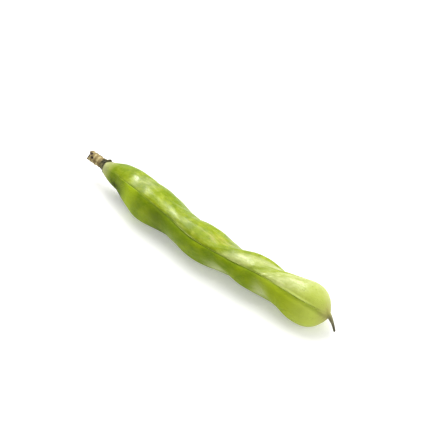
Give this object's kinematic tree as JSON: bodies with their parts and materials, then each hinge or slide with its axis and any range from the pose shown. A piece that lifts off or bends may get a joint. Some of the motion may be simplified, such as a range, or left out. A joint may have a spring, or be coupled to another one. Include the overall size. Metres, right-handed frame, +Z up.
{
  "type": "fava bean pod",
  "caption": "Fresh broad bean pod lying on its side, bulging over its beans, with a dry calyx, a stalk stub at one end and a withered style at the other.",
  "frame": {"origin": "on the surface the pod lies on, under the middle of its bounding box", "axes": "+X runs along the pod from its stalk to its style, +Z up; the front seam faces -Y and up"},
  "size_m": [0.1776, 0.0262, 0.0214],
  "materials": {
    "pod_skin": "satin",
    "dry_calyx": "matte",
    "stalk": "matte",
    "dry_style": "matte"
  },
  "bodies": {
    "root": {"pod": "pod_skin", "calyx": "dry_calyx", "stalk": "stalk", "style": "dry_style"}
  },
  "joints": []
}
